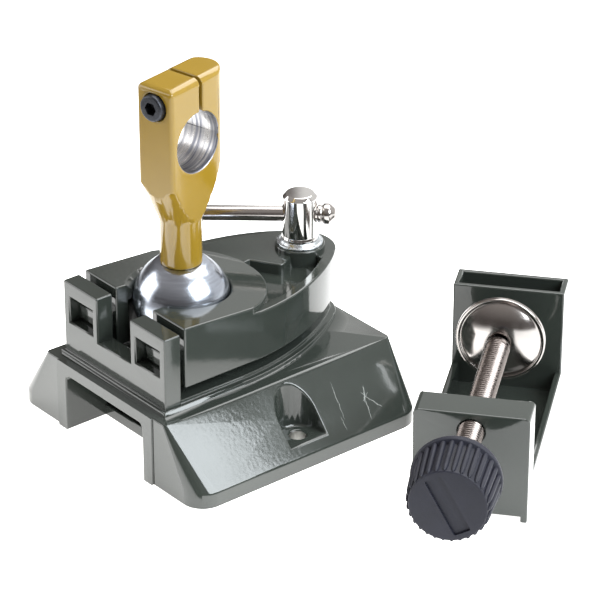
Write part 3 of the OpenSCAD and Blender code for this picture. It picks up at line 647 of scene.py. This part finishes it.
def grip_rib_tree():
    """Ribs round the knob: rods with faded ends, set in a ring and leaning in towards the knob's face."""
    tree, size = new_tree("grip_ribs", {
        "Ribs": "NodeSocketInt", "Ring Radius": "NodeSocketFloat", "Rib Radius": "NodeSocketFloat",
        "Length": "NodeSocketFloat", "Middle": "NodeSocketFloat", "Lean": "NodeSocketFloat",
        "Material": "NodeSocketMaterial"})
    rod = add(tree, "GeometryNodeMeshCylinder",
              {"Vertices": 14, "Side Segments": 18, "Radius": size["Rib Radius"], "Depth": size["Length"]})
    # the ends: the rod gets slimmer over the last part of its length
    place = add(tree, "GeometryNodeInputPosition").outputs[0]
    height = add(tree, "ShaderNodeSeparateXYZ", {0: place}).outputs["Z"]
    share = add(tree, "ShaderNodeMath", {0: height, 1: size["Length"]}, operation="DIVIDE").outputs[0]
    doubled = add(tree, "ShaderNodeMath", {0: share, 1: 2.0}, operation="MULTIPLY").outputs[0]
    reach = add(tree, "ShaderNodeMath", {0: doubled}, operation="ABSOLUTE").outputs[0]
    steep = add(tree, "ShaderNodeMath", {0: reach, 1: 6.0}, operation="POWER").outputs[0]
    left = add(tree, "ShaderNodeMath", {0: 1.0, 1: steep}, operation="SUBTRACT").outputs[0]
    above = add(tree, "ShaderNodeMath", {0: left, 1: 0.01}, operation="MAXIMUM").outputs[0]
    fade = add(tree, "ShaderNodeMath", {0: above}, operation="SQRT").outputs[0]
    slim = add(tree, "ShaderNodeCombineXYZ", {0: fade, 1: fade, 2: 1.0}).outputs[0]
    shaped = add(tree, "ShaderNodeVectorMath", {0: place, 1: slim}, operation="MULTIPLY").outputs[0]
    rib = add(tree, "GeometryNodeSetPosition", {"Geometry": rod.outputs["Mesh"], "Position": shaped})
    # the ring: each rib leans, stands off the axis and is turned to its place
    lean = add(tree, "ShaderNodeCombineXYZ", {1: size["Lean"]})
    out = add(tree, "ShaderNodeCombineXYZ", {0: size["Ring Radius"], 2: size["Middle"]})
    leaning = add(tree, "GeometryNodeTransform",
                  {"Geometry": rib.outputs[0], "Translation": out.outputs[0], "Rotation": lean.outputs[0]})
    points = add(tree, "GeometryNodePoints", {"Count": size["Ribs"]})
    step = add(tree, "ShaderNodeMath", {0: math.tau, 1: size["Ribs"]}, operation="DIVIDE").outputs[0]
    index = add(tree, "GeometryNodeInputIndex").outputs[0]
    angle = add(tree, "ShaderNodeMath", {0: index, 1: step}, operation="MULTIPLY").outputs[0]
    turn = add(tree, "ShaderNodeCombineXYZ", {2: angle})
    ring = add(tree, "GeometryNodeInstanceOnPoints",
               {"Points": points.outputs[0], "Instance": leaning.outputs[0], "Rotation": turn.outputs[0]})
    real = add(tree, "GeometryNodeRealizeInstances", {"Geometry": ring.outputs[0]})
    dressed = add(tree, "GeometryNodeSetMaterial",
                  {"Geometry": real.outputs[0], "Material": size["Material"]})
    add(tree, "NodeGroupOutput", {"Mesh": dressed.outputs[0]})
    return tree


THREAD_SEGMENTS = 48


def rolled_thread_tree():
    """A screw thread that starts one pitch up: one turn of the helix, repeated along the axis.

    It fades into the plain rod over a pitch and a half at each end.
    """
    tree, size = new_tree("rolled_thread", {
        "Turns": "NodeSocketInt", "Radius": "NodeSocketFloat", "Depth": "NodeSocketFloat",
        "Pitch": "NodeSocketFloat", "Material": "NodeSocketMaterial"})
    strip = add(tree, "GeometryNodeMeshGrid",
                {"Size X": 1.0, "Size Y": 1.0, "Vertices X": THREAD_SEGMENTS + 1, "Vertices Y": 9})
    # one turn: x goes round the rod, y goes across the groove
    place = add(tree, "GeometryNodeInputPosition").outputs[0]
    share = add(tree, "ShaderNodeVectorMath", {0: place, 1: (0.5, 0.5, 0)}, operation="ADD").outputs[0]
    around, across, _ = add(tree, "ShaderNodeSeparateXYZ", {0: share}).outputs
    angle = add(tree, "ShaderNodeMath", {0: around, 1: math.tau}, operation="MULTIPLY").outputs[0]
    saw = add(tree, "ShaderNodeMath", {0: across, 1: 2.0, 2: -1.0}, operation="MULTIPLY_ADD").outputs[0]
    groove = add(tree, "ShaderNodeMath", {0: saw}, operation="ABSOLUTE").outputs[0]
    flank = add(tree, "ShaderNodeMapRange", {"Value": groove, "From Min": 0.12, "From Max": 0.88}).outputs[0]
    sunk = add(tree, "ShaderNodeMath", {0: flank, 1: size["Depth"]}, operation="MULTIPLY").outputs[0]
    radius = add(tree, "ShaderNodeMath", {0: size["Radius"], 1: sunk}, operation="SUBTRACT").outputs[0]
    climb = add(tree, "ShaderNodeMath", {0: around, 1: across}, operation="ADD").outputs[0]
    height = add(tree, "ShaderNodeMath", {0: climb, 1: size["Pitch"]}, operation="MULTIPLY").outputs[0]
    cosine = add(tree, "ShaderNodeMath", {0: angle}, operation="COSINE").outputs[0]
    sine = add(tree, "ShaderNodeMath", {0: angle}, operation="SINE").outputs[0]
    x = add(tree, "ShaderNodeMath", {0: radius, 1: cosine}, operation="MULTIPLY").outputs[0]
    y = add(tree, "ShaderNodeMath", {0: radius, 1: sine}, operation="MULTIPLY").outputs[0]
    helix = add(tree, "ShaderNodeCombineXYZ", {0: x, 1: y, 2: height}).outputs[0]
    turn = add(tree, "GeometryNodeSetPosition", {"Geometry": strip.outputs["Mesh"], "Position": helix})
    # all turns, a pitch apart
    index = add(tree, "GeometryNodeInputIndex").outputs[0]
    step = add(tree, "ShaderNodeMath", {0: index, 1: size["Pitch"]}, operation="MULTIPLY").outputs[0]
    stack = add(tree, "ShaderNodeCombineXYZ", {2: step}).outputs[0]
    points = add(tree, "GeometryNodePoints", {"Count": size["Turns"], "Position": stack}).outputs[0]
    turns = add(tree, "GeometryNodeInstanceOnPoints", {"Points": points, "Instance": turn.outputs[0]})
    real = add(tree, "GeometryNodeRealizeInstances", {"Geometry": turns.outputs[0]}).outputs[0]
    # the ends: heights are kept between the two rims, and the groove gets shallower towards them
    spot = add(tree, "GeometryNodeInputPosition").outputs[0]
    level = add(tree, "ShaderNodeSeparateXYZ", {0: spot}).outputs["Z"]
    rim = add(tree, "ShaderNodeMath", {0: size["Turns"], 1: size["Pitch"]}, operation="MULTIPLY").outputs[0]
    kept = add(tree, "ShaderNodeClamp", {"Value": level, "Min": size["Pitch"], "Max": rim}).outputs[0]
    from_foot = add(tree, "ShaderNodeMath", {0: kept, 1: size["Pitch"]}, operation="SUBTRACT").outputs[0]
    from_rim = add(tree, "ShaderNodeMath", {0: rim, 1: kept}, operation="SUBTRACT").outputs[0]
    nearest = add(tree, "ShaderNodeMath", {0: from_foot, 1: from_rim}, operation="MINIMUM").outputs[0]
    runout = add(tree, "ShaderNodeMath", {0: size["Pitch"], 1: 1.5}, operation="MULTIPLY").outputs[0]
    share_left = add(tree, "ShaderNodeMath", {0: nearest, 1: runout}, operation="DIVIDE", use_clamp=True)
    flat = add(tree, "ShaderNodeVectorMath", {0: spot, 1: (1, 1, 0)}, operation="MULTIPLY").outputs[0]
    outward = add(tree, "ShaderNodeVectorMath", {0: flat}, operation="NORMALIZE").outputs[0]
    plain = add(tree, "ShaderNodeVectorMath", {0: outward, "Scale": size["Radius"]}, operation="SCALE")
    faded = add(tree, "ShaderNodeMix", {0: share_left.outputs[0], 4: plain.outputs[0], 5: flat},
                data_type="VECTOR").outputs[1]
    lift = add(tree, "ShaderNodeCombineXYZ", {2: kept}).outputs[0]
    ended = add(tree, "ShaderNodeVectorMath", {0: faded, 1: lift}, operation="ADD").outputs[0]
    trimmed = add(tree, "GeometryNodeSetPosition", {"Geometry": real, "Position": ended}).outputs[0]
    merged = add(tree, "GeometryNodeMergeByDistance", {"Geometry": trimmed, "Distance": SEAM * MM})
    dressed = add(tree, "GeometryNodeSetMaterial",
                  {"Geometry": merged.outputs[0], "Material": size["Material"]})
    add(tree, "NodeGroupOutput", {"Mesh": dressed.outputs[0]})
    return tree


# The tool holder

def make_castings(enamel, ochre, bore, bare):
    """Base, ball clamp and clamp frame in grey-green enamel, and the tool arm in ochre with a bare bore."""
    base = enamel_skin("base_casting", 0.55, WING_HOLES)
    for face in base.polygons:
        if in_wing_hole(face.center, 0.02, WING_HOLES):
            face.material_index = 1
    show("enamelled_base", base, [enamel, bare], "base", "grey_green_enamel", "base_casting")
    show("enamelled_ball_clamp", enamel_skin("ball_clamp", 0.6), [enamel], "ball_clamp",
         "grey_green_enamel", "ball_clamp")
    show("enamelled_clamp_frame", enamel_skin("clamp_frame", 0.5), [enamel], "table_clamp",
         "grey_green_enamel", "clamp_frame")
    arm = enamel_skin("tool_arm", 0.6)
    unturn = Matrix.Rotation(-ARM_TURN, 3, "Z")
    for face in arm.polygons:
        spot = unturn @ face.center / MM
        if math.hypot(spot.y - BORE_V, spot.z - BORE_Z) < BORE_R + 0.2:
            face.material_index = 1
    show("enamelled_tool_arm", arm, [ochre, bore], "arm", "ochre_enamel", "tool_arm")


def make_ball(alloy):
    """The ball: flat under the stem, with the pocket of its screw below."""
    steps = 48
    edge = math.asin(BALL_FLAT / BALL_R)
    foot = -math.acos(BALL_POCKET_R / BALL_R)
    angles = [edge + (foot - edge) * k / steps for k in range(steps + 1)]
    arc = [(BALL_R * math.cos(a), BALL_R * math.sin(a)) for a in angles]
    pocket = [(BALL_POCKET_R, BALL_POCKET_TOP), (BALL_SCREW_R, BALL_POCKET_TOP)]
    ball = turned([(BALL_SCREW_R, BALL_FLAT)] + arc + pocket, BALL_AXIS, segments=128)
    show("polished_ball", smoothed(ball), [alloy], "ball", "polished_alloy", "joint_ball")


def make_pinch_screw(black):
    """Socket-head screw with a rounded rim and a hexagon socket."""
    neck = PINCH_FACE + PINCH_HEAD_H
    profile = rounded([(0, PINCH_FACE), (PINCH_HEAD_R, PINCH_FACE, 0.7), (PINCH_HEAD_R, neck, 0.15),
                       (PINCH_R, neck), (PINCH_R, PINCH_END, 0.4), (0, PINCH_END)], closed=False)
    screw = turned(profile, PINCH_AXIS, closed=False)
    corners = [math.tau * k / 6 for k in range(6)]
    hexagon = [(HEX_R * math.cos(a), HEX_R * math.sin(a)) for a in corners]
    socket = prism(hexagon, PINCH_FACE - CUT_OVER, PINCH_FACE + HEX_DEPTH, PINCH_AXIS)
    show("pinch_cap_screw", smoothed(cut(screw, socket), 30), [black], "pinch", "black_oxide", "pinch_screw")


def make_toggle_screw(chrome):
    """Toggle screw with a flared foot and a rounded crown, drilled across for its bar."""
    flange_r = TOGGLE_HEAD_R + 0.3
    flange_top = TOGGLE_HEAD_Z + 0.6
    flare_top = TOGGLE_HEAD_Z + 1.4
    crown = 1.2
    profile = rounded([(0, TOGGLE_END), (TOGGLE_R, TOGGLE_END, 0.8), (TOGGLE_R, TOGGLE_HEAD_Z),
                       (flange_r, TOGGLE_HEAD_Z, 0.15), (flange_r, flange_top, 0.3),
                       (TOGGLE_HEAD_R, flare_top, 0.8), (TOGGLE_HEAD_R, TOGGLE_TOP - crown, 0.5),
                       (TOGGLE_HEAD_R - crown, TOGGLE_TOP, 0.6), (0, TOGGLE_TOP)], closed=False)
    reach = 9.0
    drill = turned([(0, -reach), (BAR_HOLE_R, -reach), (BAR_HOLE_R, reach), (0, reach)], BAR_AXIS,
                   closed=False, segments=64)
    screw = cut(turned(profile, TOGGLE_AXIS, closed=False), drill)
    show("chromed_toggle_screw", smoothed(screw), [chrome], "toggle", "bright_chrome", "toggle_screw")


def make_washer(zinc):
    """Dished washer under the toggle screw: a flat rim, a step and a raised middle."""
    rim_top = SEAT_Z + 0.75
    step_foot = SEAT_Z + 0.9
    top = SEAT_Z + 1.8
    step = 0.7
    profile = rounded([(WASHER_BORE_R, SEAT_Z), (WASHER_R, SEAT_Z, 0.2), (WASHER_R, rim_top, 0.3),
                       (WASHER_R - step, step_foot, 0.25), (WASHER_R - 2 * step, top, 0.4),
                       (WASHER_BORE_R, top)], closed=True)
    show("dished_washer", smoothed(turned(profile, TOGGLE_AXIS)), [zinc], "ball_clamp", "zinc_plate",
         "toggle_washer")


def make_bar(nickel):
    """Sliding bar and its two end knobs, each with a bead, a groove and a rounded head."""
    rod = rounded([(0, BAR_IN), (BAR_R, BAR_IN, 0.3), (BAR_R, BAR_OUT, 0.3), (0, BAR_OUT)], closed=False)
    show("sliding_bar", smoothed(turned(rod, BAR_AXIS, closed=False, segments=64)), [nickel], "bar",
         "bright_chrome", "toggle_bar")

    bead_r = BAR_KNOB_R - 0.4
    bead_top = 0.9
    groove_r = BAR_KNOB_R - 0.85
    groove_top = 1.3
    head_foot = 2.0
    crown_h = 1.9
    crown_w = 1.7
    knob = rounded([(0, 0), (bead_r, 0, 0.3), (bead_r, bead_top, 0.25), (groove_r, groove_top, 0.3),
                    (BAR_KNOB_R, head_foot, 0.6), (BAR_KNOB_R, BAR_KNOB_LEN - crown_h, 1.2),
                    (BAR_KNOB_R - crown_w, BAR_KNOB_LEN, 1.0), (0, BAR_KNOB_LEN)], closed=False)
    near = BAR_AXIS @ Matrix.Translation((0, 0, BAR_OUT * MM))
    far = BAR_AXIS @ Matrix.Translation((0, 0, BAR_IN * MM)) @ Matrix.Rotation(math.pi, 4, "X")
    for name, axis, node in (("bar_knob_near", near, "toggle_knob_near"),
                             ("bar_knob_far", far, "toggle_knob_far")):
        show(name, smoothed(turned(knob, axis, closed=False, segments=64)), [nickel], "bar",
             "bright_chrome", node)


# The table clamp's screw

def make_spindle(thread_finish, tree):
    """Spindle with a rolled thread between its plain tip and its plain end."""
    turns = 61
    depth = 0.5
    foot = SPINDLE_SHOULDER + 2.4
    rim = foot + (turns - 1) * THREAD_PITCH
    thread = grown(tree, {"Turns": turns, "Radius": SPINDLE_R * MM, "Depth": depth * MM,
                          "Pitch": THREAD_PITCH * MM, "Material": thread_finish})
    thread.transform(SPINDLE_AXIS @ Matrix.Translation((0, 0, (foot - THREAD_PITCH) * MM)))
    tip = rounded([(0, SPINDLE_TIP), (SPINDLE_TIP_R, SPINDLE_TIP, 0.4),
                   (SPINDLE_TIP_R, SPINDLE_SHOULDER, 0.2), (SPINDLE_R, SPINDLE_SHOULDER, 0.9),
                   (SPINDLE_R, foot)], closed=False)
    end = rounded([(SPINDLE_R, rim), (SPINDLE_R, SPINDLE_END, 0.5), (0, SPINDLE_END)], closed=False)
    rod = joined(thread, turned(tip, SPINDLE_AXIS, closed=False, segments=THREAD_SEGMENTS),
                 turned(end, SPINDLE_AXIS, closed=False, segments=THREAD_SEGMENTS))
    show("threaded_spindle", smoothed(rod, 60), [thread_finish], "spindle", "bright_chrome", "clamp_spindle")


def make_plate(nickel):
    """Cupped pressure plate: a bright bead round its rim, a groove inside it and a back like a bell."""
    rim = PLATE_FACE + 2.0
    bulge = 0.6
    steps = 20
    foot = Vector((PLATE_R - 1.7, rim - 0.1))
    crown = Vector((PLATE_HOLE_R + 1.2, PLATE_TOP - 0.1))
    slope = crown - foot
    out = Vector((slope.y, -slope.x)).normalized()
    shares = [k / steps for k in range(steps + 1)]
    bell = [(foot + slope * t + out * 4 * bulge * t * (1 - t))[:] for t in shares]
    bead = [(PLATE_R - 0.5, PLATE_FACE, 0.3), (PLATE_R, PLATE_FACE + 0.7, 0.3), (PLATE_R, rim + 0.3, 0.45),
            (PLATE_R - 1.1, rim + 0.3, 0.4), (PLATE_R - 1.4, rim - 0.2, 0.2)]
    hole = [(PLATE_HOLE_R + 0.5, PLATE_TOP - 0.05), (PLATE_HOLE_R, PLATE_TOP - 0.4),
            (PLATE_HOLE_R, PLATE_POCKET_TOP), (PLATE_POCKET_R, PLATE_POCKET_TOP)]
    profile = rounded([(PLATE_POCKET_R, PLATE_FACE)] + bead + bell + hole, closed=True)
    show("domed_pressure_plate", smoothed(turned(profile, SPINDLE_AXIS, segments=128)), [nickel],
         "pressure_plate", "bright_chrome", "pressure_plate")


def make_knob_core(nylon):
    """Moulded knob: hub, round shoulder, tapered grip and a flat face with a bare recessed panel."""
    bore_r = SPINDLE_R + 0.15
    pocket_end = SPINDLE_END + 0.1
    shoulder_r = 14.3
    shoulder_end = KNOB_BACK + 3.9
    grip_start = KNOB_BACK + 4.6
    grip_back_r = 12.7
    grip_face_r = 12.1
    profile = rounded([(bore_r, KNOB_HUB), (KNOB_HUB_R, KNOB_HUB, 0.7), (KNOB_HUB_R, KNOB_BACK, 0.8),
                       (shoulder_r, KNOB_BACK, 2.9), (shoulder_r, shoulder_end, 0.7),
                       (grip_back_r, grip_start, 0.5), (grip_face_r, KNOB_FACE, 0.5), (0, KNOB_FACE),
                       (0, pocket_end), (KNOB_POCKET_R, pocket_end), (KNOB_POCKET_R, KNOB_BACK),
                       (bore_r, KNOB_BACK)], closed=True)
    core = turned(profile, SPINDLE_AXIS, segments=120)
    length, width, depth = PANEL
    corner_r = 0.6
    outline = rounded([(x * length / 2, y * width / 2, corner_r)
                       for x, y in ((-1, -1), (1, -1), (1, 1), (-1, 1))], closed=True)
    panel = prism(outline, KNOB_FACE - depth, KNOB_FACE + CUT_OVER,
                  SPINDLE_AXIS @ Matrix.Rotation(PANEL_TURN, 4, "Z"))
    show("knob_core", smoothed(cut(core, panel), 32), [nylon], "spindle", "navy_plastic", "clamp_knob")


def make_knob_ribs(nylon, tree):
    """The ribs of the knob's grip."""
    start = KNOB_BACK + 2.2
    end = KNOB_FACE - 0.15
    ring_r = 12.75
    rib_r = 0.85
    lean = math.radians(-3.2)
    ribs = grown(tree, {"Ribs": KNOB_RIBS, "Ring Radius": ring_r * MM, "Rib Radius": rib_r * MM,
                        "Length": (end - start) * MM, "Middle": (start + end) / 2 * MM, "Lean": lean,
                        "Material": nylon})
    ribs.transform(SPINDLE_AXIS)
    show("knob_grip_ribs", smoothed(ribs, 50), [nylon], "spindle", "navy_plastic")


def finish_hidden_fittings(zinc, black, brass):
    """The fittings inside the castings keep their solids and get their metals."""
    finishes = {"base_insert": zinc, "plate_retainer": zinc, "ball_screw": black, "knob_insert": brass}
    for node, material in finishes.items():
        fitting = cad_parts[node]
        fitting.data.materials.clear()
        fitting.data.materials.append(material)


# Studio

# The point that the lamps face and their distance from it, in metres
LAMP_AIM = Vector((0.03, 0.03, 0.04))
LAMP_DISTANCE = 1.2
# The light table's half width, top and underside, in millimetres
TABLE_HALF = 6000
TABLE_TOP = -0.05
TABLE_FOOT = -20
# The way to the backdrop, and the bearing of its left end, which flat tops mirror to the camera
BACKDROP_WAY = (-0.45, 0.89, 0.0)
BACKDROP_END = math.radians(141.1)


def softbox(name, azimuth, elevation, width, height, watts, tint):
    """A soft rectangular lamp that faces the object; angles in degrees, sides in metres."""
    lamp = bpy.data.lights.new(name, "AREA")
    lamp.shape = "RECTANGLE"
    lamp.size = width
    lamp.size_y = height
    lamp.energy = watts
    lamp.color = linear(tint)[:3]
    box = bpy.data.objects.new(name, lamp)
    bpy.context.scene.collection.objects.link(box)
    az, el = math.radians(azimuth), math.radians(elevation)
    away = Vector((math.cos(el) * math.cos(az), math.cos(el) * math.sin(az), math.sin(el)))
    box.location = LAMP_AIM + away * LAMP_DISTANCE
    box.rotation_euler = (-away).to_track_quat("-Z", "Y").to_euler()


def make_light_table():
    """The lit table that the object stands on."""
    corners = [(x * TABLE_HALF, y * TABLE_HALF) for x, y in ((-1, -1), (1, -1), (1, 1), (-1, 1))]
    table = prism(corners, TABLE_FOOT, TABLE_TOP, Matrix.Identity(4))
    table.materials.append(opal_acrylic())
    floor = bpy.data.objects.new("light_table", table)
    bpy.context.scene.collection.objects.link(floor)


def make_room():
    """A pale backdrop behind the object, and a dim room with a paler ceiling on the other sides."""
    world = bpy.data.worlds.new("studio")
    bpy.context.scene.world = world
    world.use_nodes = True
    tree = world.node_tree
    way = add(tree, "ShaderNodeTexCoord").outputs["Generated"]
    behind = add(tree, "ShaderNodeVectorMath", {0: way, 1: BACKDROP_WAY}, operation="DOT_PRODUCT")
    rear = add(tree, "ShaderNodeMapRange",
               {"Value": behind.outputs["Value"], "From Min": 0.1, "From Max": 0.5},
               interpolation_type="SMOOTHSTEP")
    square_to_end = (math.sin(BACKDROP_END), -math.cos(BACKDROP_END), 0)
    beside = add(tree, "ShaderNodeVectorMath", {0: way, 1: square_to_end}, operation="DOT_PRODUCT")
    end = add(tree, "ShaderNodeMapRange",
              {"Value": beside.outputs["Value"], "From Min": -0.025, "From Max": 0.025},
              interpolation_type="SMOOTHSTEP")
    share = add(tree, "ShaderNodeMath", {0: rear.outputs[0], 1: end.outputs[0]}, operation="MULTIPLY")
    height = add(tree, "ShaderNodeSeparateXYZ", {0: way}).outputs["Z"]
    ceiling = add(tree, "ShaderNodeMapRange", {"Value": height, "From Min": 0.2, "From Max": 0.8})
    room = add(tree, "ShaderNodeMix", {0: ceiling.outputs[0], 6: linear("#635e5c"), 7: linear("#b4afac")},
               data_type="RGBA")
    glow = add(tree, "ShaderNodeMix", {0: share.outputs[0], 6: room.outputs[2], 7: linear("#fbfaf8")},
               data_type="RGBA")
    tree.links.new(glow.outputs[2], tree.nodes["Background"].inputs["Color"])


def make_studio():
    """A light table under the object, the room around it and three softboxes."""
    bpy.context.scene.view_settings.view_transform = "Standard"
    make_light_table()
    make_room()
    softbox("front_softbox", azimuth=-138, elevation=14, width=0.85, height=1.0, watts=10, tint="#ffffff")
    softbox("side_softbox", azimuth=16, elevation=38, width=0.85, height=0.73, watts=23, tint="#f4fbff")
    softbox("overhead_softbox", azimuth=105, elevation=66, width=1.1, height=1.1, watts=18, tint="#ffffff")


def main():
    set_camera()
    enamel = stoved_enamel("stoved_enamel_grey_green", "#303531", "#2c302d", WING_SCUFFS)
    ochre = stoved_enamel("stoved_enamel_ochre", "#8c7226", "#84691f")
    chrome = bright_plating("chrome_plate", "#d2d0ce", 0.04, 0.1)
    nickel = bright_plating("nickel_plate", "#b0aba8", 0.13, 0.2)
    zinc, black, nylon = zinc_plate(), black_oxide(), moulded_nylon()
    make_castings(enamel, ochre, bored_aluminium(), bare_casting())
    make_ball(polished_aluminium())
    make_pinch_screw(black)
    make_toggle_screw(chrome)
    make_washer(zinc)
    make_bar(nickel)
    make_spindle(plated_thread(), rolled_thread_tree())
    make_plate(nickel)
    make_knob_core(nylon)
    make_knob_ribs(nylon, grip_rib_tree())
    finish_hidden_fittings(zinc, black, turned_brass())
    make_studio()


main()
